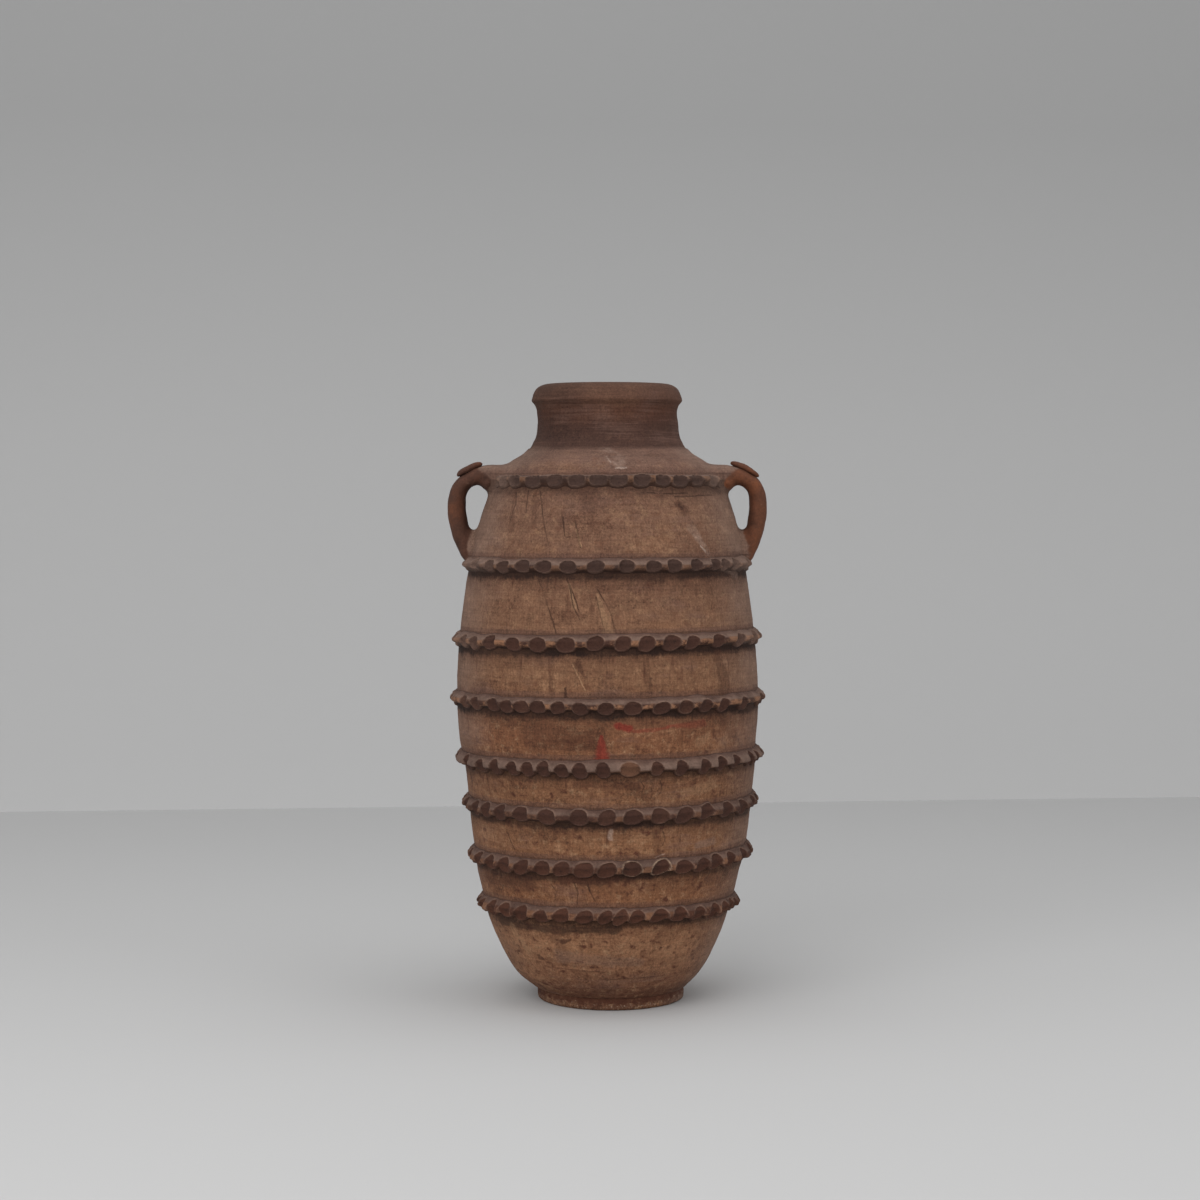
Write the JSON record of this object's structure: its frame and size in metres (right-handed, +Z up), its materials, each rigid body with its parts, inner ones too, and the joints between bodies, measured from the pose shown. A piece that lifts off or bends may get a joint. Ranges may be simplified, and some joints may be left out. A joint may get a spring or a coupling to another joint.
{
  "type": "two-handled storage jar",
  "caption": "Tall hand-built terracotta storage jar with a small foot, short neck, finger-pressed raised bands and loop handles.",
  "frame": {"origin": "centre of the foot's underside, on the jar's axis", "axes": "+Z up along the jar's axis; the front faces -Y; the handles stand at +X and -X"},
  "size_m": [0.3652, 0.3611, 0.7],
  "materials": {
    "foot_clay": "matt, gritty unglazed terracotta",
    "wall_clay": "matt unglazed terracotta, wiped and mottled",
    "neck_clay": "matt unglazed terracotta, dusty purplish brown",
    "band_clay": "matt unglazed terracotta with dark slip in the finger prints",
    "handle_clay": "matt unglazed terracotta, redder and handled smooth",
    "button_clay": "matt unglazed terracotta"
  },
  "bodies": {
    "root": {"base_disc": "foot_clay", "neck_ring": "neck_clay", "lip_coil": "neck_clay", "bowl_ring": "wall_clay", "lower_belly_ring": "wall_clay", "middle_belly_ring": "wall_clay", "upper_belly_ring": "wall_clay", "shoulder_ring": "wall_clay", "band_1_front": "band_clay", "band_1_back": "band_clay", "band_2": "band_clay", "band_3": "band_clay", "band_4": "band_clay", "band_5": "band_clay", "band_6": "band_clay", "band_7": "band_clay", "band_8": "band_clay", "right_handle": "handle_clay", "right_button": "button_clay", "left_handle": "handle_clay", "left_button": "button_clay"}
  },
  "joints": []
}
